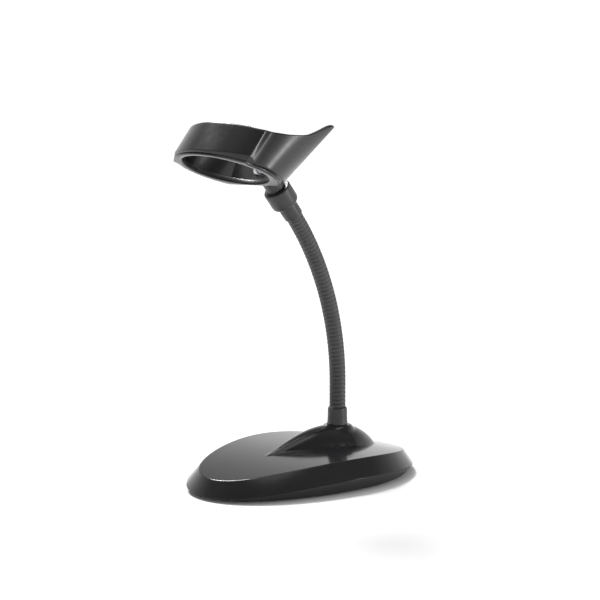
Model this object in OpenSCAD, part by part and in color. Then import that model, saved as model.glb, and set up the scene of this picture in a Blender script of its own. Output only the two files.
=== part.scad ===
// Gooseneck stand that holds a handheld scanner for hands-free use.
// A weighted egg-shaped foot carries a flexible metal neck, and a swivel socket
// on the neck's end carries an open cup with two flared horns.
// Millimetres, +Z up, front is -Y.

/* [Foot] */
// Length of the foot, front to rear
base_len = 180; // [165:1:195]
// Nominal width of the foot
base_wid = 122; // [114:1:130]
// Height of the arched top plate at mid-length
plate_mid = 20.6; // [19:0.1:22]
// Drop of the top plate from mid-length to either end
plate_drop = 10.3; // [8:0.1:10.5]
// Height of the parting line at mid-length
part_mid = 9.6; // [9:0.1:11]
// Drop of the parting line from mid-length to either end
part_drop = 7.3; // [5:0.1:7.3]
// Wall of the moulded cover and pan
wall = 2.4; // [2:0.1:2.6]
// Height of the mound's crown under the neck collar
crown_z = 31.4; // [30:0.1:33]
// Thickness of the steel ballast plate
ballast_t = 8; // [7:0.5:8]

/* [Neck] */
// Distance of the neck behind the middle of the foot
neck_y = 37.3; // [32:0.1:40]
// Outer diameter of the gooseneck
hose_d = 11.5; // [11:0.1:12]
// Inner diameter of the gooseneck's outer winding
hose_id = 8; // [7.6:0.1:8.4]
// Height at which the neck starts to bend
bend_z = 60.7; // [58:0.1:64]
// Radius of the neck's bend
bend_r = 186; // [180:1:195]
// Forward lean of the neck's end, in degrees
lean = 41; // [38:1:43]
// Length of neck between two flex points
pitch = 20.5; // [20:0.1:21]
// Gap left between two neck sections at a flex point
flex_gap = 2.0; // [2:0.1:2.4]

/* [Socket] */
// Diameter of the swivel socket
sock_d = 19; // [18:0.5:20]
// Radius of the bracket's spigot
spigot_r = 5; // [4.5:0.1:5.5]
// Radial play between spigot and socket
spigot_play = 0.05; // [0.03:0.01:0.08]

/* [Cup] */
// Tilt of the cup's lower rim, front higher, in degrees
cup_tilt = 22; // [20:1:24]
// Half width of the cup's lower outline
cup_hw = 38.7; // [37:0.1:40]
// Front half length of the cup's lower outline
cup_front = 32; // [31:0.5:34]
// Rear half length of the oval before its back is cut flat
cup_rear = 34; // [33:0.5:35]
// Distance from the rim's centre to the flat back
cup_back = 27; // [26:0.5:28]
// Rearward lean of the cup's wall for each millimetre of height
cup_lean = 0.325; // [0.3:0.005:0.35]
// Height of the horns' tips
horn_h = 48.5; // [46:0.5:50]
// Outward flare of the horns' tips
horn_flare = 18.4; // [16:0.1:20]
// Wall of the cup
cup_t = 2.6; // [2.2:0.1:3]

/* [Hidden] */
eps = 0.01;

// ---- frame: the box is centred over the origin
cup_c = [0, -66.2, 211.1];
ys = -((cup_c[1] - cup_front*cos(cup_tilt) + 1.28) + base_len/2)/2;
module place() { translate([0, ys, 0]) children(); }

// ---- foot outline: t runs from the front, through the right side, to the rear
nb = 72;
function hw(u) = base_wid/2*sqrt(max(0, 1 - u*u))*(1 + 0.17*u + 0.04*u*u - 0.11*u*u*u);
function ob(t) = [sign(sin(t))*hw(-cos(t)), -cos(t)*base_len/2];
function onrm(t) = let (a = ob(t + 1), b = ob(t - 1), d = a - b) [d[1], -d[0]]/norm(d);
function inb(t, d) = ob(t) - onrm(t)*d;
function uu(t) = -cos(t);
function edge_in(u) = 9.6 - 1.3*u - 2.9*u*u;
function part_z(u) = part_mid - part_drop*u*u;
function plate_z(y) = let (u = y/(base_len/2)) plate_mid - 0.6*u - plate_drop*u*u;
function ss(x) = let (c = min(1, max(0, x))) c*c*(3 - 2*c);
// mound: a smooth teardrop ridge, pointed to the front
function mound_w(y) = y < neck_y ? 19.2*pow(max(0, (y + 32)/(neck_y + 32)), 0.75)
                                 : 19.2*sqrt(max(0, 1 - pow((y - neck_y)/33, 2)));
function mound_h(y) = y < neck_y ? pow(sin(90*min(1, max(0, (y + 32)/(neck_y + 26)))), 1.15)
                                 : pow(max(0, 1 - pow(max(0, y - neck_y - 4)/30, 2)), 0.85);
function top_z(x, y) = let (w = mound_w(y), q = w > 0.5 ? min(1, abs(x)/w) : 1,
    z0 = plate_z(y), f = pow(max(0, 1 - q*q), 0.85))
    z0 + (crown_z - plate_z(neck_y))*mound_h(y)*f;
function crown(p) = let (r = norm([p[0], p[1] - neck_y]), z = top_z(p[0], p[1]))
    r < 8.2 ? crown_z : r < 13 ? crown_z + (z - crown_z)*ss((r - 8.2)/4.8) : z;
kk = [0.88, 0.76, 0.64, 0.52, 0.41, 0.31, 0.22, 0.14, 0.07, 0];
hub_r = 13; // outer radius of the blend round the collar's seat
function ray(t, d) = let (c = [0, neck_y], v = inb(t, edge_in(uu(t)) + d) - c) [v/norm(v), norm(v)];
function cover_ring(k, d, drop) = [for (i = [0:nb-1]) let (q = ray(i*360/nb, d),
    p = [0, neck_y] + q[0]*(hub_r + (q[1] - hub_r)*k)) [p[0], p[1], crown(p) - drop]];
function hub_ring(r, drop) = [for (i = [0:nb-1]) let (q = ray(i*360/nb, 0), p = [0, neck_y] + q[0]*r) [p[0], p[1], crown(p) - drop]];
function skirt_ring(d, dz) = [for (i = [0:nb-1]) let (t = i*360/nb, e = inb(t, d)) [e[0], e[1], part_z(uu(t)) + dz]];
function flat_ring(d, z) = [for (i = [0:nb-1]) let (t = i*360/nb, e = inb(t, d)) [e[0], e[1], z]];

// closed body from rings that start and end in a centre point
module ringed(rings, first, last) {
  n = len(rings[0]); m = len(rings);
  polyhedron(points = concat([for (r = rings) each r], [first, last]),
    faces = concat(
      [for (k = [0:m-2]) for (i = [0:n-1]) let (j = (i + 1)%n)
        each [[k*n + i, (k+1)*n + j, (k+1)*n + i], [k*n + i, k*n + j, (k+1)*n + j]]],
      [for (i = [0:n-1]) [n*m, (i + 1)%n, i]],
      [for (i = [0:n-1]) [n*m + 1, (m-1)*n + i, (m-1)*n + (i + 1)%n]]), convexity = 6);
}
// closed loop of rings, like a hoop: outside going up, inside going down
module looped(rings) {
  n = len(rings[0]); m = len(rings);
  polyhedron(points = [for (r = rings) each r],
    faces = [for (k = [0:m-1]) for (i = [0:n-1]) let (j = (i + 1)%n, q = (k + 1)%m)
      each [[k*n + i, q*n + i, q*n + j], [k*n + i, q*n + j, k*n + j]]], convexity = 6);
}

feet = [[34, 44], [-34, 44], [25, -50], [-25, -50]];
posts = [[45, 28], [-45, 28], [34, -38], [-34, -38]];
weights = [[20, -14], [-20, -14], [0, -42]];
bal_z = 3.6;
bal_top = bal_z + ballast_t;
pan_z = 1;
floor_z = 3;

module base_cover() color([0.11, 0.11, 0.12]) place() difference() {
  union() {
    ringed(concat(
        [hub_ring(8.15, 0), hub_ring(10.6, 0)],
        [for (k = [len(kk)-1:-1:0]) cover_ring(kk[k], 0, 0)],
        [cover_ring(1, 0, 0), skirt_ring(0, 0), skirt_ring(wall, 0), cover_ring(1, 0.8*wall, wall)],
        [for (k = kk) cover_ring(k, 0.8*wall, wall)],
        [hub_ring(10.6, wall), hub_ring(8.15, wall)]),
      [0, neck_y, crown_z], [0, neck_y, crown_z - wall]);
    for (p = posts) translate([p[0], p[1], 5.2]) cylinder(d = 8, h = top_z(p[0], p[1]) - 1 - 5.2, $fn = 32);
    for (p = weights) translate([p[0], p[1], bal_top]) cylinder(d = 9, h = top_z(p[0], p[1]) - 1 - bal_top, $fn = 32);
  }
  translate([0, neck_y, crown_z - 8]) cylinder(r = 5.3, h = 12, $fn = 48);
  for (p = posts) translate([p[0], p[1], 5.2 - eps]) cylinder(r = 1.55, h = 9, $fn = 24);
  for (p = weights) translate([p[0], p[1], bal_top - eps]) cylinder(r = 2.05, h = 5, $fn = 24);
}

module base_pan() color([0.1, 0.1, 0.11]) place() difference() {
  ringed([flat_ring(22, floor_z), flat_ring(13, floor_z), flat_ring(7.2, 2), skirt_ring(wall, -0.12),
      skirt_ring(0, -0.12), flat_ring(4.5, pan_z), flat_ring(22, pan_z)],
    [0, 0, floor_z], [0, 0, pan_z]);
  for (p = feet) translate([p[0], p[1], pan_z - 1]) cylinder(r = 6.6, h = 1.9, $fn = 48);
  for (p = posts) translate([p[0], p[1], pan_z - 1]) { cylinder(r = 1.7, h = 9, $fn = 24); cylinder(r = 3.1, h = 1.8, $fn = 32); }
}

module ballast_plate() color([0.42, 0.43, 0.45]) place() difference() {
  translate([0, 0, bal_z]) linear_extrude(ballast_t) polygon([for (i = [0:nb-1]) let (t = i*360/nb, e = ob(t)) [e[0]*0.56, e[1]*0.72 + 1]]);
  translate([0, neck_y, bal_z - 1]) cylinder(r = 12.2, h = 7, $fn = 48);
  translate([0, neck_y, bal_z - 1]) cylinder(r = 5.2, h = ballast_t + 2, $fn = 48);
  for (p = weights) translate([p[0], p[1], bal_z - 1]) { cylinder(r = 2.3, h = ballast_t + 2, $fn = 24); cylinder(r = 4.2, h = 3.6, $fn = 32); }
}

// pan head screw standing on its head, shank up
module pan_screw(r, l, hr, hh) {
  difference() {
    union() {
      translate([0, 0, hh]) cylinder(r = r, h = l, $fn = 24);
      rotate_extrude($fn = 32) polygon([[0, 0], [hr*0.72, 0], [hr*0.93, hh*0.3], [hr, hh*0.65], [hr, hh], [0, hh]]);
    }
    for (a = [0, 90]) rotate(a) translate([-hr*0.5, -hr*0.11, -1]) cube([hr, hr*0.22, 1 + hh*0.5]);
  }
}
module ballast_screws() color([0.6, 0.6, 0.62]) place() for (p = weights)
  translate([p[0], p[1], bal_z + 0.1]) pan_screw(2, ballast_t - 2.5 + 4.4, 3.9, 2.5);
module base_screws() color([0.5, 0.5, 0.52]) place() for (p = posts)
  translate([p[0], p[1], 0.25]) pan_screw(1.5, 11, 2.8, 1.55);
module rubber_feet() color([0.07, 0.07, 0.07]) place() for (p = feet) translate([p[0], p[1], 0])
  rotate_extrude($fn = 48) polygon([[0, 0], [5.4, 0], [6.2, 0.5], [6.4, 1.0], [6.4, 1.9], [0, 1.9]]);

// ---- neck, built about its own foot point
module neck_spacer() color([0.55, 0.55, 0.57]) place() translate([0, neck_y, bal_top]) difference() {
  cylinder(r = 7.8, h = crown_z - wall - bal_top, $fn = 48);
  translate([0, 0, -1]) cylinder(r = 5.2, h = 30, $fn = 48);
}
module lower_collar() color([0.14, 0.14, 0.15]) place() translate([0, neck_y, crown_z]) difference() {
  rotate_extrude($fn = 64) polygon([[0, 0], [7.2, 0], [7.3, 0.5], [7.0, 4], [6.85, 11.2], [6.3, 12.3], [0, 12.3]]);
  translate([0, 0, 3.2]) cylinder(r = hose_d/2 + 0.03, h = 12, $fn = 64);
  translate([0, 0, -1]) cylinder(r = 5, h = 6, $fn = 48);
}
module neck_stud() color([0.62, 0.62, 0.64]) place() translate([0, neck_y, bal_z + 0.3]) cylinder(r = 5, h = crown_z + 3.1 - bal_z - 0.3, $fn = 48);
module stud_washer() color([0.66, 0.66, 0.68]) place() translate([0, neck_y, bal_z + 5]) difference() {
  cylinder(r = 10.5, h = 1, $fn = 48); translate([0, 0, -1]) cylinder(r = 5.2, h = 3, $fn = 48); }
module stud_lock_washer() color([0.5, 0.5, 0.52]) place() translate([0, neck_y, bal_z + 4.1]) difference() {
  cylinder(r = 8.6, h = 0.9, $fn = 48); translate([0, 0, -1]) cylinder(r = 5.2, h = 3, $fn = 48);
  translate([0, -0.5, -1]) cube([12, 1, 3]); }
module stud_nut() color([0.66, 0.66, 0.68]) place() translate([0, neck_y, bal_z + 0.1]) difference() {
  cylinder(r = 17/2/cos(30), h = 4, $fn = 6); translate([0, 0, -1]) cylinder(r = 5, h = 6, $fn = 48); }

arc_deg = 180/(PI*bend_r);            // degrees of bend per mm of path
s0 = bend_z;                          // path length is counted as height up to the bend
function ang(s) = max(0, (s - bend_z)*arc_deg);
piv = [for (i = [0:6]) 56 + i*pitch]; // flex points along the path
neck_end = bend_z + lean/arc_deg;     // path length at the end of the bend
axis_p = [0, neck_y - bend_r*(1 - cos(lean)), bend_z + bend_r*sin(lean)];
function pt(s) = s < bend_z ? [0, neck_y, s] : [0, neck_y - bend_r*(1 - cos(ang(s))), bend_z + bend_r*sin(ang(s))];

// tube that follows the neck from path length a to b
module along(a, b, ro, ri) {
  if (a < bend_z) translate([0, neck_y, a]) difference() {
    cylinder(r = ro, h = min(b, bend_z) - a, $fn = 48);
    if (ri > 0) translate([0, 0, -1]) cylinder(r = ri, h = min(b, bend_z) - a + 2, $fn = 48);
  }
  if (b > bend_z) translate([0, neck_y - bend_r, bend_z]) rotate([90, 0, 90])
    rotate([0, 0, ang(max(a, bend_z))]) rotate_extrude(angle = ang(b) - ang(max(a, bend_z)), $fn = 64)
      translate([bend_r, 0]) difference() { circle(r = ro, $fn = 48); if (ri > 0) circle(r = ri, $fn = 48); }
}
function sec_a(i) = i == 1 ? crown_z + 3.3 : piv[i-2] + flex_gap/2;
function sec_b(i) = i == 8 ? neck_end - 0.2 : piv[i-1] - flex_gap/2;
module neck_section(i) color([0.16, 0.16, 0.17]) place() union() {
  if (sec_a(i) < bend_z && sec_b(i) > bend_z) {
    along(sec_a(i), bend_z, hose_d/2, hose_id/2);
    along(bend_z, sec_b(i), hose_d/2, hose_id/2);
  } else along(sec_a(i), sec_b(i), hose_d/2, hose_id/2);
}
module core_spring(i) color([0.45, 0.45, 0.47]) place() union() {
  a = sec_a(i) + 0.1; b = sec_b(i) - 0.1; ro = hose_id/2 - 0.15; ri = 2.2;
  if (a < bend_z && b > bend_z) { along(a, bend_z, ro, ri); along(bend_z, b, ro, ri); }
  else along(a, b, ro, ri);
}

// ---- swivel, built along the neck's end: local +Z runs out of the neck
module at_end() place() translate(axis_p) rotate([lean, 0, 0]) children();
sock_lo = 7;
sock_hi = 21.3;
module upper_ferrule() color([0.14, 0.14, 0.15]) at_end() difference() {
  union() {
    rotate_extrude($fn = 64) polygon([[0, -3.6], [6.2, -3.6], [6.6, -3], [6.6, sock_lo - 0.1], [0, sock_lo - 0.1]]);
    translate([0, 0, sock_lo - 0.2]) cylinder(r = 4, h = 4.2, $fn = 48);
  }
  translate([0, 0, -5]) cylinder(r = hose_d/2 + 0.12, h = 5, $fn = 64);
}
module swivel_socket() color([0.15, 0.15, 0.16]) at_end() difference() {
  rotate_extrude($fn = 64) polygon([[0, sock_lo], [7.6, sock_lo], [8.9, sock_lo + 0.9], [sock_d/2, sock_lo + 2.4],
    [sock_d/2, sock_hi - 0.8], [sock_d/2 - 0.8, sock_hi], [0, sock_hi]]);
  translate([0, 0, sock_lo - 1]) cylinder(r = 4, h = 5.2, $fn = 48);
  translate([0, 0, 12.2]) cylinder(r = spigot_r + spigot_play, h = 12, $fn = 64);
  translate([0, 0, 17.3]) rotate([-90, 0, 0]) cylinder(r = 1.5, h = 12, $fn = 24);
}
module socket_set_screw() color([0.35, 0.35, 0.37]) at_end() translate([0, 4.6, 17.3]) rotate([-90, 0, 0]) difference() {
  union() {
    cylinder(r = 0.7, h = 1.2, $fn = 24);
    translate([0, 0, 0.9]) cylinder(r = 1.5, h = 3.5, $fn = 24);
  }
  translate([0, 0, 3]) cylinder(r = 0.85, h = 3, $fn = 6);
}

// the cup's back plane: distance along the neck's axis where it is met, and its slope
cd = [0, cup_lean*cos(cup_tilt) + sin(cup_tilt), -cup_lean*sin(cup_tilt) + cos(cup_tilt)];
cdn = cd/norm(cd);
bk0 = [0, cup_c[1] + cup_back*cos(cup_tilt), cup_c[2] - cup_back*sin(cup_tilt)];
ax = [0, -sin(lean), cos(lean)];
// solve axis_p + t*ax = bk0 + l*cdn
det = ax[1]*(-cdn[2]) + cdn[1]*ax[2];
bx = bk0[1] - axis_p[1]; bz = bk0[2] - axis_p[2];
met_t = (bx*(-cdn[2]) + cdn[1]*bz)/det;
met_l = (ax[1]*bz - ax[2]*bx)/det;
met = [0, axis_p[1] + met_t*ax[1], axis_p[2] + met_t*ax[2]];
back_lean = atan2(cdn[1], cdn[2]);    // lean of the back wall from vertical, rearward
// local +Z is the back wall's inward normal, local +Y runs down the wall
module at_back() place() translate(met) rotate([90 - back_lean, 0, 0]) children();

module swivel_bracket() color([0.15, 0.15, 0.16]) place() difference() {
  union() {
    translate(axis_p) rotate([lean, 0, 0]) rotate_extrude($fn = 64) polygon([[0, 12.5], [spigot_r - 0.5, 12.5], [spigot_r, 13],
      [spigot_r, 16.1], [spigot_r - 0.7, 16.5], [spigot_r - 0.7, 18.1], [spigot_r, 18.5], [spigot_r, sock_hi + 0.35],
      [6.6, sock_hi + 0.35], [6.6, 29], [8.6, 34], [8.6, met_t + 4], [0, met_t + 4]]);
    translate(met) rotate([90 - back_lean, 0, 0]) translate([0, 0, -4]) cylinder(r = 9.6, h = 4, $fn = 48);
  }
  translate(met) rotate([90 - back_lean, 0, 0]) translate([-40, -40, -0.05]) cube([80, 80, 40]);
  translate(met) rotate([90 - back_lean, 0, 0]) translate([0, 0, -10]) cylinder(r = 2.5, h = 12, $fn = 32);
}

// ---- cup: local X across, R to the rear along the tilted rim, h up from the rim
function cup_pt(x, r, h) = [x, cup_c[1] + r*cos(cup_tilt) + h*sin(cup_tilt), cup_c[2] - r*sin(cup_tilt) + h*cos(cup_tilt)];
t_back = acos(-cup_back/cup_rear);
t_fold = 60;
// the front band swells towards the folds, then drops back to the oval
function swell(t) = let (a = t > 180 ? 360 - t : t) a < 14 ? 0 : a < t_fold ? 0.07*pow((a - 14)/(t_fold - 14), 1.6) :
    a < t_fold + 12 ? 0.07*pow(1 - (a - t_fold)/12, 2) : 0;
function rb(t) = let (c = -cos(t)) c < 0 ? cup_front*c*(1 + swell(t)) : min(cup_back, cup_rear*c);
function xb(t) = cup_hw*sin(t)*(1 + swell(t));
function flare(t) = let (a = t > 180 ? 360 - t : t) a <= t_fold ? 0 : a < t_back ?
    2.2*ss((a - t_fold)/6) + (horn_flare - 2.2)*pow((a - t_fold)/(t_back - t_fold), 1.9) :
    horn_flare*abs(xb(a))/xb(t_back);
top_h = [[0, 24], [50, 24], [56, 24.2], [66, 24.9], [74, 26], [85, 27.6], [96, 30], [108, 33.4], [115, 36.7], [123, 41.3],
  [130, 45.1], [136, 46.9], [142, 47.2], [146, 48], [148.5, 46.8], [151, 42.5], [154.5, 36.5], [159, 30.5], [168, 25], [180, 23]];
function ch(t) = let (a = t > 180 ? 360 - t : t) lookup(a, top_h)*(a > 58 ? 1 + (horn_h/48.5 - 1)*(min(a, 140) - 58)/82 : 1);
function cup_raw(t, h) = let (a = t > 180 ? 360 - t : t, s = t > 180 ? -1 : 1)
    [s*(xb(a) + flare(a)*(h/horn_h)), rb(t) + cup_lean*h];
function cup_nrm(t, h) = let (a = cup_raw(t + 2, h), b = cup_raw(t - 2, h), d = a - b) [d[1], -d[0]]/norm(d);
function cup_off(t, h, d) = let (p = cup_raw(t, h) - cup_nrm(t, h)*d) cup_pt(p[0], p[1], h);
// stations round the cup, closer together where the shape turns
half_t = [0, 6, 12, 18, 24, 30, 36, 42, 48, 53, 57, 60, 62, 65, 68, 71, 74.5, 78, 84, 90, 96, 102, 108, 114, 119, 124, 129, 133,
  136.5, 139.5, 142, 144, 146, 148.5, 151, 154.5, 159, 164, 169, 174.5];
ts = concat(half_t, [180], [for (i = [len(half_t)-1:-1:1]) 360 - half_t[i]]);
rim_lo = 1;
// bevel along the band's lower edge, tallest at the folds
function bevel(t) = let (a = t > 180 ? 360 - t : t) 0.8 + 2.7*(a < t_fold ? ss((a - 10)/(t_fold - 10)) : 1 - ss((a - t_fold)/9));
function bevel_ring(g, d) = [for (t = ts) cup_off(t, rim_lo + bevel(t)*g, d)];
function cup_ring(f, d) = [for (t = ts) cup_off(t, rim_lo + (ch(t) - rim_lo)*f, d)];
module cup_shell() color([0.1, 0.1, 0.11]) place() difference() {
  looped([bevel_ring(0, 1.3), bevel_ring(1, 0), cup_ring(0.25, 0), cup_ring(0.45, 0), cup_ring(0.65, 0), cup_ring(0.82, 0), cup_ring(0.96, 0),
    cup_ring(1, 0.9), cup_ring(1, cup_t - 0.9), cup_ring(0.96, cup_t), cup_ring(0.82, cup_t), cup_ring(0.65, cup_t), cup_ring(0.45, cup_t),
    cup_ring(0.25, cup_t), cup_ring(0, cup_t)]);
  translate(met) rotate([90 - back_lean, 0, 0]) translate([0, 0, -3]) cylinder(r = 2.7, h = 9, $fn = 32);
}
// opening of the cup: an oval inside the lower rim
open_hw = 32.4; open_f = 27.4; open_r = 23.6;
function bez_in(t, h) = let (c = -cos(t)) cup_pt(open_hw*sin(t), (c < 0 ? open_f : open_r)*c + cup_lean*h, h);
module cup_bezel() color([0.3, 0.3, 0.31]) place()
  looped([[for (t = ts) cup_off(t, -0.6, 2.2)], [for (t = ts) cup_off(t, -0.2, 1.6)], [for (t = ts) cup_off(t, 0.9, 1.6)],
    [for (t = ts) cup_off(t, 0.9, cup_t + 0.1)], [for (t = ts) cup_off(t, 3.2, cup_t + 0.1)],
    [for (t = ts) bez_in(t, 3.2)], [for (t = ts) bez_in(t, 0)], [for (t = ts) bez_in(t, -0.6) + [0, 0, 0]]]);
module cup_washer() color([0.7, 0.7, 0.72]) at_back() translate([0, 0, cup_t + 0.02]) difference() {
  cylinder(r = 6.4, h = 1, $fn = 48); translate([0, 0, -1]) cylinder(r = 2.7, h = 3, $fn = 32); }
module cup_screw() color([0.75, 0.75, 0.77]) at_back() translate([0, 0, cup_t + 1.04 + 2.6]) rotate([180, 0, 0]) pan_screw(2.45, 11, 4.4, 2.6);

base_cover();
base_pan();
ballast_plate();
ballast_screws();
base_screws();
rubber_feet();
neck_spacer();
lower_collar();
neck_stud();
stud_washer();
stud_lock_washer();
stud_nut();
neck_section(1);  // neck_section_1
neck_section(2);  // neck_section_2
neck_section(3);  // neck_section_3
neck_section(4);  // neck_section_4
neck_section(5);  // neck_section_5
neck_section(6);  // neck_section_6
neck_section(7);  // neck_section_7
neck_section(8);  // neck_section_8
core_spring(1);  // core_spring_1
core_spring(2);  // core_spring_2
core_spring(3);  // core_spring_3
core_spring(4);  // core_spring_4
core_spring(5);  // core_spring_5
core_spring(6);  // core_spring_6
core_spring(7);  // core_spring_7
core_spring(8);  // core_spring_8
upper_ferrule();
swivel_socket();
socket_set_screw();
swivel_bracket();
cup_shell();
cup_bezel();
cup_screw();
cup_washer();
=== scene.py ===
import math
import bpy
import bmesh
import numpy as np
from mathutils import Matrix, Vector


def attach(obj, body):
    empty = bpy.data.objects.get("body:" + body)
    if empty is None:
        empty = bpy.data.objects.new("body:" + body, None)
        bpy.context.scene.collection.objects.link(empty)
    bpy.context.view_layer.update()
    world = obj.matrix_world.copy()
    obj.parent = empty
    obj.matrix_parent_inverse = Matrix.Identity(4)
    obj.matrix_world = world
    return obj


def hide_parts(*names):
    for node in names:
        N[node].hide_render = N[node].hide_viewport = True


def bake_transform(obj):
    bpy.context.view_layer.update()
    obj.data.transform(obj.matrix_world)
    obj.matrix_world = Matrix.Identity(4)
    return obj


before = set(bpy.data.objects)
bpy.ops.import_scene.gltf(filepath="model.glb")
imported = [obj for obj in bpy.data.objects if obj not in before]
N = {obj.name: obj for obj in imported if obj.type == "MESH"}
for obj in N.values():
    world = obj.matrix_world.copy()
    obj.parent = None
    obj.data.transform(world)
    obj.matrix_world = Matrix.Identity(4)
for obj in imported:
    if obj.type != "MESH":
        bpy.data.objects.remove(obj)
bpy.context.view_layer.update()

YS = 2.2955          # the foot's middle lies this far behind the frame's origin, mm
PI = math.pi


def rad(a):
    return a * PI / 180.0


def ss(x):
    c = np.clip(x, 0.0, 1.0)
    return c * c * (3 - 2 * c)


def to_frame(p):
    """foot-centred millimetres to the frame's metres"""
    p = np.asarray(p, float)
    return (p + np.array([0.0, YS, 0.0])) / 1000.0


# ------------------------------------------------------------------ materials
def new_mat(name):
    m = bpy.data.materials.new(name)
    m.use_nodes = True
    nt = m.node_tree
    for n in list(nt.nodes):
        nt.nodes.remove(n)
    out = nt.nodes.new("ShaderNodeOutputMaterial")
    out.location = (900, 0)
    b = nt.nodes.new("ShaderNodeBsdfPrincipled")
    b.location = (600, 0)
    nt.links.new(b.outputs["BSDF"], out.inputs["Surface"])
    tc = nt.nodes.new("ShaderNodeTexCoord")
    tc.location = (-900, 0)
    return m, nt, b, tc


def noise(nt, vec, scale, detail=4.0, rough=0.55, loc=(-500, 0), dist=0.0):
    n = nt.nodes.new("ShaderNodeTexNoise")
    n.location = loc
    n.inputs["Scale"].default_value = scale
    n.inputs["Detail"].default_value = detail
    n.inputs["Roughness"].default_value = rough
    n.inputs["Distortion"].default_value = dist
    nt.links.new(vec, n.inputs["Vector"])
    return n.outputs["Fac"]


def span(nt, fac, a, b, lo=0.3, hi=0.7, loc=(-200, 0)):
    """maps fac from lo..hi to a..b"""
    r = nt.nodes.new("ShaderNodeMapRange")
    r.location = loc
    r.inputs["From Min"].default_value = lo
    r.inputs["From Max"].default_value = hi
    r.inputs["To Min"].default_value = a
    r.inputs["To Max"].default_value = b
    nt.links.new(fac, r.inputs["Value"])
    return r.outputs["Result"]


def ramp2(nt, fac, c1, c2, p1=0.3, p2=0.7, loc=(-200, 200)):
    r = nt.nodes.new("ShaderNodeValToRGB")
    r.location = loc
    r.color_ramp.elements[0].position = p1
    r.color_ramp.elements[0].color = (*c1, 1)
    r.color_ramp.elements[1].position = p2
    r.color_ramp.elements[1].color = (*c2, 1)
    nt.links.new(fac, r.inputs["Fac"])
    return r.outputs["Color"]


def stretch(nt, vec, sx, sy, sz, rot=(0, 0, 0), loc=(-700, -200)):
    m = nt.nodes.new("ShaderNodeMapping")
    m.location = loc
    m.inputs["Scale"].default_value = (sx, sy, sz)
    m.inputs["Rotation"].default_value = rot
    nt.links.new(vec, m.inputs["Vector"])
    return m.outputs["Vector"]


def bump(nt, bsdf, height, strength, dist, loc=(300, -300), under=None):
    b = nt.nodes.new("ShaderNodeBump")
    b.location = loc
    b.inputs["Strength"].default_value = strength
    b.inputs["Distance"].default_value = dist
    nt.links.new(height, b.inputs["Height"])
    if under is not None:
        nt.links.new(under, b.inputs["Normal"])
    nt.links.new(b.outputs["Normal"], bsdf.inputs["Normal"])
    return b.outputs["Normal"]


def math_node(nt, op, a, b, loc=(0, 0)):
    n = nt.nodes.new("ShaderNodeMath")
    n.operation = op
    n.location = loc
    for i, v in enumerate((a, b)):
        if isinstance(v, (int, float)):
            n.inputs[i].default_value = v
        else:
            nt.links.new(v, n.inputs[i])
    return n.outputs[0]


def mat_gloss_black():
    """polished injection-moulded ABS: deep black, a faint orange peel, hairline handling marks"""
    m, nt, b, tc = new_mat("gloss_black_abs")
    o = tc.outputs["Object"]
    cloud = noise(nt, o, 22, 3, 0.5, (-500, 300))
    nt.links.new(ramp2(nt, cloud, (0.0075, 0.0075, 0.0085), (0.0125, 0.0125, 0.0135)), b.inputs["Base Color"])
    smear = noise(nt, o, 38, 5, 0.6, (-500, 0), 0.4)
    hair = noise(nt, stretch(nt, o, 4200, 60, 200, (0, 0, 0.6)), 1.0, 2, 0.5, (-500, -200))
    hair2 = noise(nt, stretch(nt, o, 70, 3900, 200, (0, 0, 0.25), (-700, -400)), 1.0, 2, 0.5, (-500, -400))
    r0 = span(nt, smear, 0.105, 0.165)
    r1 = span(nt, hair, 0.0, 0.05, 0.66, 0.8, (-200, -200))
    r2 = span(nt, hair2, 0.0, 0.04, 0.68, 0.82, (-200, -400))
    nt.links.new(math_node(nt, "ADD", math_node(nt, "ADD", r0, r1), r2, (200, -100)), b.inputs["Roughness"])
    peel = noise(nt, o, 420, 2, 0.4, (-500, -600))
    bump(nt, b, peel, 0.018, 0.001)
    b.inputs["IOR"].default_value = 1.52
    return m


def mat_satin_black(name="satin_black_abs", lo=0.30, hi=0.42, c1=(0.009, 0.009, 0.010), c2=(0.016, 0.016, 0.0175), grain=3200, gb=0.10):
    """spark-eroded mould finish: fine even grain over a satin black"""
    m, nt, b, tc = new_mat(name)
    o = tc.outputs["Object"]
    cloud = noise(nt, o, 30, 3, 0.5, (-500, 300))
    nt.links.new(ramp2(nt, cloud, c1, c2), b.inputs["Base Color"])
    mask_fac = noise(nt, o, 55, 5, 0.62, (-500, 0), 0.3)
    nt.links.new(span(nt, mask_fac, lo, hi), b.inputs["Roughness"])
    g = noise(nt, o, grain, 3, 0.6, (-500, -300))
    bump(nt, b, g, gb, 0.0004)
    b.inputs["IOR"].default_value = 1.5
    return m


def mat_neck():
    """lacquered steel winding: matte black with a fine speckle; the crest of each turn is painted slightly lighter as
    a painted highlight, so the groove reads darker as painted shade
    """
    m, nt, b, tc = new_mat("neck_lacquer_black")
    o = tc.outputs["Object"]
    at = nt.nodes.new("ShaderNodeAttribute")
    at.attribute_name = "crest"
    at.location = (-900, 300)
    speck = noise(nt, o, 900, 4, 0.6, (-500, 100))
    cloud = noise(nt, o, 70, 4, 0.6, (-500, -100))
    # painted highlight: the crest attribute times cloudy patches picks where the crests are painted lighter; the
    # grooves keep the darker base as painted shade
    mask_fac = math_node(nt, "MULTIPLY", span(nt, at.outputs["Fac"], 0.0, 1.0, 0.55, 1.0), span(nt, cloud, 0.35, 1.0, 0.35, 0.65, (-200, -100)), (0, 200))
    mix = nt.nodes.new("ShaderNodeMix")
    mix.data_type = "RGBA"
    mix.location = (250, 250)
    nt.links.new(mask_fac, mix.inputs["Factor"])
    nt.links.new(ramp2(nt, speck, (0.017, 0.017, 0.018), (0.027, 0.027, 0.029)), mix.inputs["A"])
    # the lighter colour of the painted highlight on the crests
    mix.inputs["B"].default_value = (0.046, 0.046, 0.048, 1)
    nt.links.new(mix.outputs["Result"], b.inputs["Base Color"])
    nt.links.new(span(nt, speck, 0.42, 0.56), b.inputs["Roughness"])
    bump(nt, b, speck, 0.12, 0.0003)
    b.inputs["IOR"].default_value = 1.5
    return m


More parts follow.
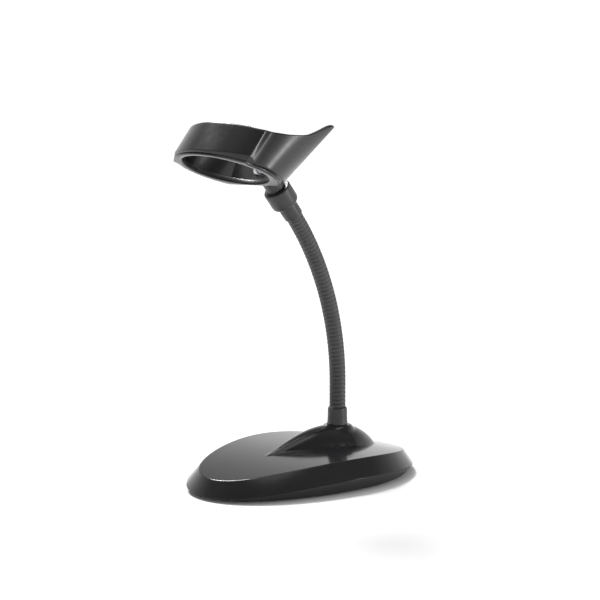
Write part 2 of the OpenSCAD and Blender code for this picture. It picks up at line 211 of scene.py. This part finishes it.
def mat_collar():
    """turned and black-coated fitting: fine turning marks round its axis under a satin coat"""
    m, nt, b, tc = new_mat("collar_black_coat")
    o = tc.outputs["Object"]
    cloud = noise(nt, o, 120, 4, 0.6, (-500, 300))
    nt.links.new(ramp2(nt, cloud, (0.016, 0.016, 0.017), (0.028, 0.028, 0.030)), b.inputs["Base Color"])
    rings = noise(nt, stretch(nt, o, 30, 30, 5200), 1.0, 3, 0.6, (-500, -200))
    nt.links.new(span(nt, cloud, 0.30, 0.44), b.inputs["Roughness"])
    bump(nt, b, rings, 0.07, 0.0003)
    b.inputs["IOR"].default_value = 1.5
    return m


def mat_metal(name, c1, c2, lo, hi, brush=(2600, 60, 60), bs=0.08, metallic=1.0, cloud=90):
    m, nt, b, tc = new_mat(name)
    o = tc.outputs["Object"]
    cl = noise(nt, o, cloud, 5, 0.6, (-500, 300), 0.3)
    nt.links.new(ramp2(nt, cl, c1, c2), b.inputs["Base Color"])
    br = noise(nt, stretch(nt, o, *brush), 1.0, 4, 0.6, (-500, -200))
    nt.links.new(span(nt, br, lo, hi), b.inputs["Roughness"])
    bump(nt, b, br, bs, 0.0003)
    b.inputs["Metallic"].default_value = metallic
    return m


def mat_rubber():
    m, nt, b, tc = new_mat("foot_rubber_black")
    o = tc.outputs["Object"]
    cl = noise(nt, o, 160, 5, 0.65, (-500, 300))
    nt.links.new(ramp2(nt, cl, (0.012, 0.012, 0.012), (0.030, 0.029, 0.028)), b.inputs["Base Color"])
    nt.links.new(span(nt, cl, 0.70, 0.88), b.inputs["Roughness"])
    g = noise(nt, o, 2600, 3, 0.6, (-500, -300))
    bump(nt, b, g, 0.22, 0.0004)
    b.inputs["Specular IOR Level"].default_value = 0.35
    return m


GLOSS = mat_gloss_black()
SATIN = mat_satin_black()
CUPM = mat_satin_black("cup_black_abs", 0.20, 0.30, (0.0085, 0.0085, 0.0095), (0.0145, 0.0145, 0.016), 2600, 0.012)
NECK = mat_neck()
COLLAR = mat_collar()
BEZEL = mat_satin_black("bezel_grey_abs", 0.22, 0.32, (0.014, 0.014, 0.015), (0.024, 0.024, 0.026), 2800, 0.06)
ZINC = mat_metal("zinc_plated_steel", (0.50, 0.50, 0.52), (0.70, 0.70, 0.72), 0.20, 0.36)
BALLAST = mat_metal("ballast_phosphated_steel", (0.07, 0.072, 0.075), (0.16, 0.162, 0.168), 0.42, 0.62, (300, 300, 300), 0.18, 0.9, 45)
SPRING = mat_metal("spring_steel_wire", (0.22, 0.22, 0.23), (0.38, 0.38, 0.39), 0.28, 0.42, (60, 60, 1800), 0.12)
RUBBER = mat_rubber()

SLOT_MAT = {"gloss_black": GLOSS, "satin_black": SATIN, "neck_black": NECK, "collar_black": COLLAR,
            "bezel_grey": BEZEL, "ballast_steel": BALLAST, "zinc_steel": ZINC, "spring_steel": SPRING,
            "foot_rubber": RUBBER}


def cad_mat(node, m):
    o = N[node]
    if not o.material_slots:
        o.data.materials.append(m)
    for s in o.material_slots:
        s.material = m


for n in ("base_cover",):
    cad_mat(n, GLOSS)
for n in ("base_pan",):
    cad_mat(n, SATIN)
for n in ("cup_shell",):
    cad_mat(n, CUPM)
cad_mat("cup_bezel", BEZEL)
cad_mat("ballast_plate", BALLAST)
for n in ("ballast_screws", "base_screws", "neck_spacer", "neck_stud", "stud_washer", "stud_nut", "cup_screw", "cup_washer"):
    cad_mat(n, ZINC)
for n in ("stud_lock_washer", "socket_set_screw"):
    cad_mat(n, SPRING)
cad_mat("rubber_feet", RUBBER)
for i in range(1, 9):
    cad_mat(f"neck_section_{i}", NECK)
    cad_mat(f"core_spring_{i}", SPRING)
for n in ("lower_collar", "upper_ferrule", "swivel_socket", "swivel_bracket"):
    cad_mat(n, COLLAR)


# ------------------------------------------------------------------ mesh help
class Shape:
    def __init__(self):
        self.v, self.f, self.n = [], [], 0

    def rings(self, rings, loop=False, cap0=None, cap1=None):
        """rings of equal length; loop joins the last to the first; cap0/cap1 are centre points of the ends"""
        n, m, o = len(rings[0]), len(rings), self.n
        self.v += [np.asarray(r, float) for r in rings]
        i = np.arange(n)
        j = (i + 1) % n
        for k in range(m if loop else m - 1):
            a, b = o + k * n, o + ((k + 1) % m) * n
            self.f += np.stack([a + i, a + j, b + j, b + i], 1).tolist()
        self.n += n * m
        for cap, ring in ((cap0, 0), (cap1, m - 1)):
            if cap is not None:
                self.v.append(np.asarray([cap], float))
                a = o + ring * n
                self.f += [[int(a + p), int(a + q), self.n] for p, q in zip(i, j)]
                self.n += 1
        return self

    def make(self, name, mat, body=None, replaces=(), slot=None, sharp=32.0, cutters=(), attr=None):
        me = bpy.data.meshes.new(name)
        me.from_pydata(to_frame(np.vstack(self.v)).tolist(), [], self.f)
        me.validate()
        bm = bmesh.new()
        bm.from_mesh(me)
        bmesh.ops.recalc_face_normals(bm, faces=bm.faces)
        if bm.calc_volume(signed=True) < 0:
            bmesh.ops.reverse_faces(bm, faces=bm.faces)
        bm.to_mesh(me)
        bm.free()
        o = bpy.data.objects.new(name, me)
        bpy.context.scene.collection.objects.link(o)
        if attr is not None:
            a = me.attributes.new(attr[0], "FLOAT", "POINT")
            a.data.foreach_set("value", np.asarray(attr[1], np.float32))
        for c in cutters:
            md = o.modifiers.new("cut", "BOOLEAN")
            md.operation = "DIFFERENCE"
            md.solver = "EXACT"
            md.object = c
        if cutters:
            bpy.context.view_layer.update()
            dg = bpy.context.evaluated_depsgraph_get()
            new = bpy.data.meshes.new_from_object(o.evaluated_get(dg))
            o.modifiers.clear()
            o.data = new
            new.name = name
            me = new
            for c in cutters:
                bpy.data.objects.remove(c)
        me.materials.clear()
        me.materials.append(mat)
        me.polygons.foreach_set("material_index", np.zeros(len(me.polygons), np.int32))
        me.polygons.foreach_set("use_smooth", np.ones(len(me.polygons), bool))
        me.set_sharp_from_angle(angle=rad(sharp))
        me.update()
        if body:
            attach(o, body)
        if replaces:
            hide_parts(*replaces)
        return o


def turned(profile, place, n=96, closed=True):
    """rings of a profile [(r, z)...] revolved about local Z, put in place by place(points)"""
    t = np.arange(n) * 2 * PI / n
    out = []
    for r, z in profile:
        out.append(place(np.stack([r * np.cos(t), r * np.sin(t), np.full(n, float(z))], 1)))
    return out


def soften(profile, sizes, seg=4):
    """rounds each inner corner of an open profile by a distance along its edges"""
    out = [profile[0]]
    for i in range(1, len(profile) - 1):
        a, p, b = map(np.array, (profile[i - 1], profile[i], profile[i + 1]))
        s = sizes if isinstance(sizes, (int, float)) else sizes[i]
        la, lb = np.linalg.norm(a - p), np.linalg.norm(b - p)
        s = min(s, la * 0.48, lb * 0.48)
        if s < 1e-3:
            out.append(tuple(p))
            continue
        q0, q1 = p + (a - p) / la * s, p + (b - p) / lb * s
        for k in range(seg + 1):
            u = k / seg
            out.append(tuple((1 - u) ** 2 * q0 + 2 * u * (1 - u) * p + u * u * q1))
    out.append(profile[-1])
    return out


def cutter(r, z0, z1, place, n=48):
    s = Shape().rings(turned([(r, z0), (r, z1)], place, n), cap0=place(np.array([[0, 0, z0]]))[0], cap1=place(np.array([[0, 0, z1]]))[0])
    me = bpy.data.meshes.new("cutter")
    me.from_pydata(to_frame(np.vstack(s.v)).tolist(), [], s.f)
    bm = bmesh.new()
    bm.from_mesh(me)
    bmesh.ops.recalc_face_normals(bm, faces=bm.faces)
    bm.to_mesh(me)
    bm.free()
    o = bpy.data.objects.new("cutter", me)
    bpy.context.scene.collection.objects.link(o)
    return o


def shift(x, y, z):
    return lambda p: p + np.array([x, y, z], float)


# ------------------------------------------------------------------ foot
NECK_Y, CROWN, WALL = 37.3, 31.4, 2.4
FEET = [(34, 44), (-34, 44), (25, -50), (-25, -50)]
POSTS = [(45, 28), (-45, 28), (34, -38), (-34, -38)]
WEIGHTS = [(20, -14), (-20, -14), (0, -42)]
NB = 288
T = np.arange(NB) * 2 * PI / NB


def hw(u):
    return 61 * np.sqrt(np.maximum(0, 1 - u * u)) * (1 + 0.17 * u + 0.04 * u * u - 0.11 * u ** 3)


def ob(t):
    u = -np.cos(t)
    return np.stack([np.sign(np.sin(t)) * hw(u), 90 * u], 1)


def onrm(t):
    d = ob(t + rad(0.8)) - ob(t - rad(0.8))
    l = np.linalg.norm(d, axis=1)
    return np.stack([d[:, 1], -d[:, 0]], 1) / l[:, None]


OB, ON, U = ob(T), onrm(T), -np.cos(T)
if (OB * ON).sum() < 0:
    ON = -ON


def inb(d):
    return OB - ON * np.reshape(d, (-1, 1)) if np.ndim(d) else OB - ON * d


EDGE_IN = 9.6 - 1.3 * U - 2.9 * U * U
PART_Z = 9.6 - 7.3 * U * U


def plate_z(y):
    u = y / 90
    return 20.6 - 0.6 * u - 10.3 * u * u


def mound_w(y):
    return np.where(y < NECK_Y, 19.2 * np.maximum(0, (y + 32) / (NECK_Y + 32)) ** 0.75,
                    19.2 * np.sqrt(np.maximum(0, 1 - ((y - NECK_Y) / 33) ** 2)))


def mound_h(y):
    a = np.sin(PI / 2 * np.clip((y + 32) / (NECK_Y + 26), 0, 1)) ** 1.15
    b = np.maximum(0, 1 - (np.maximum(0, y - NECK_Y - 4) / 30) ** 2) ** 0.85
    return np.where(y < NECK_Y, a, b)


def top_z(x, y):
    w = mound_w(y)
    q = np.where(w > 0.5, np.minimum(1, np.abs(x) / np.maximum(w, 0.5)), 1)
    f = np.maximum(0, 1 - q * q) ** 0.85
    return plate_z(y) + (CROWN - plate_z(NECK_Y)) * mound_h(y) * f


def crown(x, y):
    r, z = np.hypot(x, y - NECK_Y), top_z(x, y)
    return np.where(r < 8.2, CROWN, np.where(r < 13, CROWN + (z - CROWN) * ss((r - 8.2) / 4.8), z))


def cover_ring(k, d, drop, hole=5.3):
    e = inb(EDGE_IN + d)
    c = np.array([0, NECK_Y])
    v = e - c
    l = np.linalg.norm(v, axis=1)[:, None]
    p = c + v / l * (hole + (l - hole) * k)
    return np.column_stack([p, crown(p[:, 0], p[:, 1]) - drop])


def edge_profile(points, rounding, seg=5):
    """points are rings; each inner one is rounded along its edges by the given distance"""
    out = [points[0]]
    for i in range(1, len(points) - 1):
        a, p, b = points[i - 1], points[i], points[i + 1]
        s = rounding[i]
        if s <= 0:
            out.append(p)
            continue
        va, vb = a - p, b - p
        la, lb = np.linalg.norm(va, axis=1)[:, None], np.linalg.norm(vb, axis=1)[:, None]
        sa, sb = np.minimum(s, la * 0.48), np.minimum(s, lb * 0.48)
        q0, q1 = p + va / la * sa, p + vb / lb * sb
        for k in range(seg + 1):
            u = k / seg
            out.append((1 - u) ** 2 * q0 + 2 * u * (1 - u) * p + u * u * q1)
    out.append(points[-1])
    return out


def skirt(d, dz):
    return np.column_stack([inb(d), PART_Z + dz])


def flat(d, z):
    return np.column_stack([inb(d), np.full(NB, float(z))])


def make_cover():
    M = 76
    ks = (np.arange(M) / M) ** 1.25
    top = [cover_ring(k, 0, 0) for k in ks if k < 0.985]
    edge = edge_profile([top[-1], cover_ring(1, 0, 0), skirt(0, 0), skirt(WALL, 0)], [0, 0.5, 0.4, 0])
    ins = [cover_ring(k, 0.8 * WALL, WALL) for k in (1, 0.9, 0.78, 0.64, 0.5, 0.38, 0.27, 0.18, 0.1, 0.05, 0)]
    s = Shape().rings(top + edge[1:] + ins, loop=True)
    for x, y in POSTS:
        z1 = float(top_z(np.array(x), np.array(y))) - 1
        s.rings(turned([(1.55, 5.2), (3.7, 5.2), (4, 5.5), (4, z1), (1.55, z1)], shift(x, y, 0), 32), loop=True)
    for x, y in WEIGHTS:
        z1 = float(top_z(np.array(x), np.array(y))) - 1
        s.rings(turned([(2.05, 11.6), (4.2, 11.6), (4.5, 11.9), (4.5, z1), (2.05, z1)], shift(x, y, 0), 32), loop=True)
    return s.make("foot_cover", GLOSS, "base", ("base_cover",), "gloss_black", 40)


def make_pan():
    outer = edge_profile([flat(WALL + 1.2, 2.6) * 0 + np.column_stack([inb(WALL), PART_Z - 0.12]), skirt(0, -0.12), flat(4.5, 1), flat(22, 1)], [0, 0.4, 1.1, 0])
    rings = [flat(22, 3), flat(13, 3), flat(7.2, 2)] + outer
    c0, c1 = [0, 0, 3], [0, 0, 1]
    cuts = [cutter(6.6, 0, 1.9, shift(x, y, 0)) for x, y in FEET]
    for x, y in POSTS:
        cuts.append(cutter(3.1, 0, 1.8, shift(x, y, 0)))
        cuts.append(cutter(1.7, 1.5, 6, shift(x, y, 0), 32))
    return Shape().rings(rings, cap0=c0, cap1=c1).make("foot_pan", SATIN, "base", ("base_pan",), "satin_black", 38, cuts)


make_cover()
make_pan()

# ------------------------------------------------------------------ neck
BEND_Z, BEND_R, LEAN = 60.7, 186.0, 41.0
PIV = [56 + 20.5 * i for i in range(7)]
NECK_END = BEND_Z + rad(LEAN) * BEND_R


def along(s):
    """centre and cross direction of the neck at path length s"""
    s = np.asarray(s, float)
    a = np.maximum(0, s - BEND_Z) / BEND_R
    c = np.stack([0 * s, NECK_Y - BEND_R * (1 - np.cos(a)), np.where(s < BEND_Z, s, BEND_Z + BEND_R * np.sin(a))], -1)
    n2 = np.stack([0 * s, np.cos(a), np.sin(a)], -1)
    return c, n2


PITCH, DEPTH, R_OUT, R_IN, NA = 2.9, 0.30, 5.75, 4.5, 48


def make_hose():
    ends = [35.6] + [p + 10.25 for p in PIV[:6]] + [NECK_END - 0.5]
    th = np.arange(NA) * 2 * PI / NA
    for i in range(7):
        a, b = ends[i], ends[i + 1]
        m = max(8, int(round((b - a) / (PITCH / 11))))
        sv = np.linspace(a, b, m + 1)
        rings, crest = [], []
        for s in sv:
            c, n2 = along(s)
            f = (s / PITCH - th / (2 * PI)) % 1.0
            g = np.abs(2 * f - 1) ** 2.6
            r = R_OUT - DEPTH * g
            rings.append(c + (r * np.cos(th))[:, None] * np.array([1.0, 0, 0]) + (r * np.sin(th))[:, None] * n2)
            crest.append(1 - g)
        for s in np.linspace(b, a, 24):
            c, n2 = along(s)
            rings.append(c + (R_IN * np.cos(th))[:, None] * np.array([1.0, 0, 0]) + (R_IN * np.sin(th))[:, None] * n2)
            crest.append(np.zeros(NA))
        # crest is 1 on each turn's crest; the neck material paints a highlight there and leaves painted shade in the
        # groove
        o = Shape().rings(rings, loop=True).make(f"neck_winding_{i + 1}", NECK, None,
            (f"neck_section_{i + 1}",) if i < 6 else ("neck_section_7", "neck_section_8"), "neck_black", 60,
            attr=("crest", np.concatenate(crest)))
        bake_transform(o)


make_hose()

# collar at the foot of the neck
prof = soften([(5.0, 3.2), (5.0, 0), (7.2, 0), (7.3, 0.5), (7.0, 4), (6.85, 11.2), (6.3, 12.3), (5.78, 12.3), (5.78, 3.2), (5.0, 3.2)],
              [0, 0.2, 0.3, 0.25, 1.5, 0.5, 0.25, 0.1, 0.1, 0])[:-1]
Shape().rings(turned(prof, shift(0, NECK_Y, CROWN), 96), loop=True).make("neck_collar", COLLAR, "base", ("lower_collar",), "collar_black", 35)

# ------------------------------------------------------------------ swivel, along the neck's end
AXIS_P = np.array([0, NECK_Y - BEND_R * (1 - math.cos(rad(LEAN))), BEND_Z + BEND_R * math.sin(rad(LEAN))])
AX = np.array([0, -math.sin(rad(LEAN)), math.cos(rad(LEAN))])
AY = np.array([0, math.cos(rad(LEAN)), math.sin(rad(LEAN))])


def at_end(p):
    return AXIS_P + p[:, :1] * np.array([1.0, 0, 0]) + p[:, 1:2] * AY + p[:, 2:3] * AX


prof = soften([(5.87, -3.6), (6.2, -3.6), (6.6, -3.0), (6.6, 6.9), (4.0, 6.9), (4.0, 11.0), (0.02, 11.0), (0.02, 0.0), (5.87, 0.0), (5.87, -3.6)],
              [0, 0.2, 0.5, 0.4, 0.1, 0.4, 0, 0, 0.1, 0])[:-1]
Shape().rings(turned(prof, at_end, 96), loop=True).make("neck_ferrule", COLLAR, "neck_8", ("upper_ferrule",), "collar_black", 35)

prof = soften([(0.02, 11.2), (4.0, 11.2), (4.0, 7.0), (7.6, 7.0), (8.9, 7.9), (9.5, 9.4), (9.5, 20.5), (8.7, 21.3), (5.05, 21.3), (5.05, 12.2), (0.02, 12.2)],
              [0, 0, 0.2, 0.4, 0.8, 0.9, 0.6, 0.4, 0.35, 0.1, 0])


def set_screw_place(p):
    q = np.column_stack([p[:, 0], p[:, 2], 17.3 - p[:, 1]])
    return at_end(q)


Shape().rings(turned(prof, at_end, 112), loop=True).make("socket_body", COLLAR, "neck_8", ("swivel_socket",), "collar_black", 35,
    [cutter(1.56, 4.2, 12, set_screw_place, 32)])

# ------------------------------------------------------------------ cup
CUP_C, TILT, HWD, CF, CR, CB = np.array([0, -66.2, 211.1]), rad(22), 38.7, 32.0, 34.0, 27.0
LEANR, HORN_H, FLARE, CT, RIM = 0.325, 48.5, 18.4, 2.6, 1.0
T_BACK = math.acos(-CB / CR)
T_FOLD = rad(60)
XB_BACK = HWD * math.sin(T_BACK)


def cup_xyz(x, r, h):
    return np.stack([x, CUP_C[1] + r * math.cos(TILT) + h * math.sin(TILT), CUP_C[2] - r * math.sin(TILT) + h * math.cos(TILT)], -1)


def swell(a):
    return np.where(a < 14, 0, np.where(a < 60, 0.07 * (np.maximum(a - 14, 0) / 46) ** 1.6, 0.07 * np.maximum(0, 1 - (a - 60) / 12) ** 2))


def side(t, h):
    """the side wall's outline on the right, t from the front to the rear corner, in the plane at height h"""
    c = -np.cos(t)
    a = np.degrees(t)
    k = 1 + swell(np.abs(a))
    r = np.where(c < 0, CF * c * k, CR * c) + LEANR * h
    fl = np.where(a <= 60, 0, 2.2 * ss((a - 60) / 6) + (FLARE - 2.2) * np.maximum(0, (a - 60) / (math.degrees(T_BACK) - 60)) ** 1.9)
    return np.stack([HWD * np.sin(t) * k + fl * h / HORN_H, r], -1)


def side_off(t, h, d):
    e = 0.004 + 0.045 * np.minimum(1, np.reshape(d, -1) / CT)
    dv = side(t + e, h) - side(t - e, h)
    dv /= np.linalg.norm(dv, axis=-1, keepdims=True)
    n = np.stack([dv[..., 1], -dv[..., 0]], -1)
    return side(t, h) - n * np.reshape(d, (-1, 1))


def corner_t(h, d):
    """where the inset side wall meets the inset back"""
    lo, hi = np.full(h.shape, rad(100.0)), np.full(h.shape, T_BACK + 0.02)
    target = CB + LEANR * h - d
    for _ in range(26):
        m = (lo + hi) / 2
        s = side_off(m, h, d)[..., 1] > target
        hi = np.where(s, m, hi)
        lo = np.where(s, lo, m)
    return (lo + hi) / 2


TOP = np.array([[0, 24], [50, 24], [56, 24.2], [66, 24.9], [74, 26], [85, 27.6], [96, 30], [108, 33.4], [115, 36.7], [123, 41.3],
                [130, 45.1], [136, 46.9], [142, 47.2], [146, 48], [148.5, 46.8], [151, 42.5], [154.5, 36.5], [159, 30.5], [168, 25], [180, 23]], float)


def pchip(x, y, q):
    h, d = np.diff(x), np.diff(y) / np.diff(x)
    m = np.zeros(len(x))
    for i in range(1, len(x) - 1):
        if d[i - 1] * d[i] > 0:
            w1, w2 = 2 * h[i] + h[i - 1], h[i] + 2 * h[i - 1]
            m[i] = (w1 + w2) / (w1 / d[i - 1] + w2 / d[i])
    k = np.clip(np.searchsorted(x, q, side="right") - 1, 0, len(h) - 1)
    s = (q - x[k]) / h[k]
    return ((2 * s ** 3 - 3 * s ** 2 + 1) * y[k] + (s ** 3 - 2 * s ** 2 + s) * h[k] * m[k]
            + (-2 * s ** 3 + 3 * s ** 2) * y[k + 1] + (s ** 3 - s ** 2) * h[k] * m[k + 1])


def top_h(t):
    return pchip(TOP[:, 0], TOP[:, 1], np.clip(np.degrees(t), 0, 180))


# stations of one half: along the side, closer together at the fold, then 7 round the corner and 30 along the back
T_ROUND = rad(2.6)
SIDE_T = np.radians(np.concatenate([np.linspace(0, 54, 32), np.linspace(54, 68, 43)[1:], np.linspace(68, 100, 24)[1:],
                                    np.linspace(100, math.degrees(T_BACK - T_ROUND), 32)[1:]]))
NS, NC, NK = len(SIDE_T), 7, 30
CORNER_U = np.linspace(0, 1, NC + 2)[1:-1]
BACK_U = np.linspace(1, 0, NK)          # 1 at the corner, 0 in the middle
# a station's own t, for its top height
ST_T = np.concatenate([SIDE_T, T_BACK - T_ROUND + CORNER_U * 2 * T_ROUND,
                       PI - np.arcsin(np.clip(BACK_U * math.sin(T_BACK + T_ROUND), 0, 1))])
HALF_H = top_h(ST_T)


def outline(h, d, rnd):
    """one half of the outline, front to the middle of the back, each station at its own height h and inset d"""
    h = np.asarray(h, float)
    d = np.broadcast_to(np.asarray(d, float), h.shape)
    tc = corner_t(h, d)
    back_r = CB + LEANR * h - d
    cx = side_off(tc, h, d)[:, 0]
    out = np.zeros((len(h), 2))
    dt = rnd / 36.0
    a = slice(0, NS)
    t1 = rad(100)
    tt = np.where(SIDE_T < t1, SIDE_T, t1 + (SIDE_T - t1) * (tc[a] - dt - t1) / (T_BACK - T_ROUND - t1))
    out[a] = side_off(tt, h[a], d[a])
    b = slice(NS, NS + NC)
    q0 = side_off(tc[b] - dt, h[b], d[b])
    p = np.stack([cx[b], back_r[b]], -1)
    q1 = np.stack([cx[b] - rnd, back_r[b]], -1)
    w = CORNER_U[:, None]
    out[b] = (1 - w) ** 2 * q0 + 2 * w * (1 - w) * p + w * w * q1
    k = slice(NS + NC, NS + NC + NK)
    out[k] = np.stack([(cx[k] - rnd) * BACK_U, back_r[k]], -1)
    return out


def both(half_xyz):
    left = half_xyz[1:-1][::-1] * np.array([-1.0, 1, 1])
    return np.vstack([half_xyz, left])


def cup_ring(h, d, rnd):
    o = outline(h, d, rnd)
    return both(cup_xyz(o[:, 0], o[:, 1], np.asarray(h, float)))


def make_cup():
    H = HALF_H
    R = 0.95
    rings = []
    arc = np.linspace(0, PI / 2, 6)
    a0 = np.degrees(ST_T)
    bev = 0.8 + 2.7 * np.where(a0 < 60, ss((a0 - 10) / 50), 1 - ss((a0 - 60) / 9))
    hd = edge_profile([np.stack([0 * H + RIM, 0 * H + CT], 1), np.stack([0 * H + RIM, 0 * H + 1.3], 1),
                       np.stack([RIM + bev, 0 * H], 1), np.stack([RIM + bev + 1.5, 0 * H], 1)], [0, 0.25, 0.45, 0], 4)
    for q in hd[1:]:
        rings.append(cup_ring(q[:, 0], q[:, 1], 1.3))
    for f in np.linspace(0, 1, 28)[1:]:
        rings.append(cup_ring(RIM + bev + 1.5 + (H - R - RIM - bev - 1.5) * f, 0.0, 1.3))
    for a in arc[1:]:                               # top outer edge
        rings.append(cup_ring(H - R + R * np.sin(a), R * (1 - np.cos(a)), 1.2))
    for a in arc[::-1][:-1]:                        # top inner edge
        rings.append(cup_ring(H - R + R * np.sin(a), CT - R * (1 - np.cos(a)), 1.0))
    for f in np.linspace(1, 0, 24):
        rings.append(cup_ring(RIM + (H - R - RIM) * f, CT, 1.0))
    return Shape().rings(rings, loop=True).make("cup_body", CUPM, "cup", ("cup_shell",), "satin_black", 50,
        [cutter(2.7, -3, 6, at_back, 48)])


CD = np.array([0, LEANR * math.cos(TILT) + math.sin(TILT), -LEANR * math.sin(TILT) + math.cos(TILT)])
CDN = CD / np.linalg.norm(CD)
BK0 = np.array([0, CUP_C[1] + CB * math.cos(TILT), CUP_C[2] - CB * math.sin(TILT)])
DET = AX[1] * (-CDN[2]) + CDN[1] * AX[2]
_b = BK0 - AXIS_P
MET_T = (_b[1] * (-CDN[2]) + CDN[1] * _b[2]) / DET
MET = AXIS_P + MET_T * AX
BL = math.atan2(CDN[1], CDN[2])
BN = np.array([0, -math.sin(PI / 2 - BL), math.cos(PI / 2 - BL)])      # the back wall's inward normal
BYV = np.array([0, math.cos(PI / 2 - BL), math.sin(PI / 2 - BL)])


def at_back(p):
    return MET + p[:, :1] * np.array([1.0, 0, 0]) + p[:, 1:2] * BYV + p[:, 2:3] * BN


make_cup()


def make_bezel():
    one = np.ones_like(HALF_H)
    ts = ST_T

    def oval(h, grow=0.0):
        c = -np.cos(ts)
        return both(cup_xyz((32.4 + grow) * np.sin(ts), np.where(c < 0, 27.4 + grow, 23.6 + grow) * c + LEANR * h, h * one))

    pts = [(-0.6, 2.2), (-0.2, 1.6), (0.9, 1.6), (0.9, CT + 0.1), (3.2, CT + 0.1)]
    pr = soften([(2.2, -0.6), (1.6, -0.2), (1.6, 0.9), (2.7, 0.9), (2.7, 3.2), (3.4, 3.2)], [0, 0.35, 0.25, 0.1, 0.4, 0], 4)[:-1]
    rings = [cup_ring(h * one, d, 1.2) for d, h in pr]
    rings += [oval(3.2, 0.5), oval(3.05, 0.12), oval(2.7), oval(1.2), oval(-0.1), oval(-0.45, 0.15), oval(-0.6, 0.5)]
    return Shape().rings(rings, loop=True).make("cup_rim_bezel", BEZEL, "cup", ("cup_bezel",), "bezel_grey", 40)


make_bezel()


def make_bracket():
    n = 112
    th = np.arange(n) * 2 * PI / n
    prof = soften([(0.02, 12.5), (4.5, 12.5), (5, 13), (5, 16.1), (4.3, 16.5), (4.3, 18.1), (5, 18.5), (5, 21.65), (6.6, 21.65), (6.6, 29), (8.6, 34), (8.6, 60)],
                  [0, 0.1, 0.1, 0.1, 0.1, 0.1, 0.1, 0.1, 0.5, 2.0, 2.0, 0], 5)

    def plane_z(r):
        """local height at which a line parallel to the axis meets the cup's back"""
        q = at_end(np.stack([r * np.cos(th), r * np.sin(th), 0 * th], 1))
        return ((MET - BN * 0.05 - q) @ BN) / (AX @ BN)

    rings = []
    for r, z in prof[:-1]:
        lim = plane_z(r)
        rings.append(at_end(np.stack([r * np.cos(th), r * np.sin(th), np.minimum(z, lim)], 1)))
    rings.append(at_end(np.stack([8.6 * np.cos(th), 8.6 * np.sin(th), plane_z(8.6)], 1)))
    rings.append(at_end(np.stack([2.6 * np.cos(th), 2.6 * np.sin(th), plane_z(2.6)], 1)))
    rings.append(at_end(np.stack([2.6 * np.cos(th), 2.6 * np.sin(th), plane_z(2.6) - 6], 1)))
    rings.append(at_end(np.stack([0.02 * np.cos(th), 0.02 * np.sin(th), plane_z(0.02) - 6], 1)))
    s = Shape().rings(rings, loop=True)
    fl = soften([(2.6, -4), (9.6, -4), (9.6, -0.05), (2.6, -0.05)], [0, 0.9, 0.25, 0], 5)
    s.rings(turned(fl, at_back, n), loop=True)
    return s.make("swivel_arm", COLLAR, "cup", ("swivel_bracket",), "collar_black", 35)


make_bracket()

# ------------------------------------------------------------------ floor, light, camera
fl = bpy.data.meshes.new("floor")
fl.from_pydata([(-6, -6, 0), (6, -6, 0), (6, 6, 0), (-6, 6, 0)], [], [(0, 1, 2, 3)])
floor = bpy.data.objects.new("floor", fl)
bpy.context.scene.collection.objects.link(floor)
m, nt, b, tc = new_mat("studio_floor")
cl = noise(nt, tc.outputs["Object"], 3.0, 3, 0.5)
nt.links.new(ramp2(nt, cl, (0.80, 0.80, 0.80), (0.83, 0.83, 0.83)), b.inputs["Base Color"])
b.inputs["Roughness"].default_value = 0.9
b.inputs["Specular IOR Level"].default_value = 0.0
fl.materials.append(m)

world = bpy.data.worlds.new("studio")
bpy.context.scene.world = world
world.use_nodes = True
wn = world.node_tree
bg = wn.nodes["Background"]
wtc = wn.nodes.new("ShaderNodeTexCoord")
sep = wn.nodes.new("ShaderNodeSeparateXYZ")
wn.links.new(wtc.outputs["Generated"], sep.inputs["Vector"])
up = span(wn, sep.outputs["Z"], 1.0, 0.0, 0.22, 0.62)
wn.links.new(ramp2(wn, up, (0.20, 0.20, 0.20), (1.0, 1.0, 1.0), 0.0, 1.0), bg.inputs["Color"])
bg.inputs["Strength"].default_value = 1.05


def area(name, pos, look, size, power, size_y=None):
    l = bpy.data.lights.new(name, "AREA")
    l.shape = "RECTANGLE" if size_y else "SQUARE"
    l.size = size
    if size_y:
        l.size_y = size_y
    l.energy = power
    o = bpy.data.objects.new(name, l)
    bpy.context.scene.collection.objects.link(o)
    o.location = pos
    d = Vector(look) - Vector(pos)
    o.rotation_euler = d.to_track_quat("-Z", "Y").to_euler()
    return o


A = rad(45.01)
RIGHT = np.array([math.cos(A), math.sin(A), 0])
BACKW = np.array([-math.sin(A), math.cos(A), 0])


def stagepos(right, back, up):
    return tuple(RIGHT * right + BACKW * back + np.array([0, 0, up]))


def sun(name, pos, angle, strength):
    l = bpy.data.lights.new(name, "SUN")
    l.angle = rad(angle)
    l.energy = strength
    o = bpy.data.objects.new(name, l)
    bpy.context.scene.collection.objects.link(o)
    o.rotation_euler = (-Vector(pos)).to_track_quat("-Z", "Y").to_euler()
    return o


sun("key", stagepos(-0.62, 0.95, 1.55), 22, 3.9)
sun("fill", stagepos(0.1, 0.1, 2.0), 50, 0.55)
strip = area("strip", (1.10, 0.62, 0.30), (0, 0, 0.2), 0.10, 4.0, 0.62)
strip.visible_camera = False

cam = bpy.data.cameras.new("camera")
cam.lens = 84.57
cam.sensor_width = 36
cam.sensor_fit = "HORIZONTAL"
cam.clip_start = 0.01
cam.clip_end = 60
co = bpy.data.objects.new("camera", cam)
bpy.context.scene.collection.objects.link(co)
co.location = (math.sin(A) * 0.95112, -math.cos(A) * 0.95112 + YS / 1000, 0.23504)
co.rotation_euler = (rad(90 - 6.75), 0, A)
bpy.context.scene.camera = co

bpy.context.scene.view_settings.view_transform = "Standard"
bpy.context.scene.view_settings.look = "None"

bpy.context.view_layer.update()
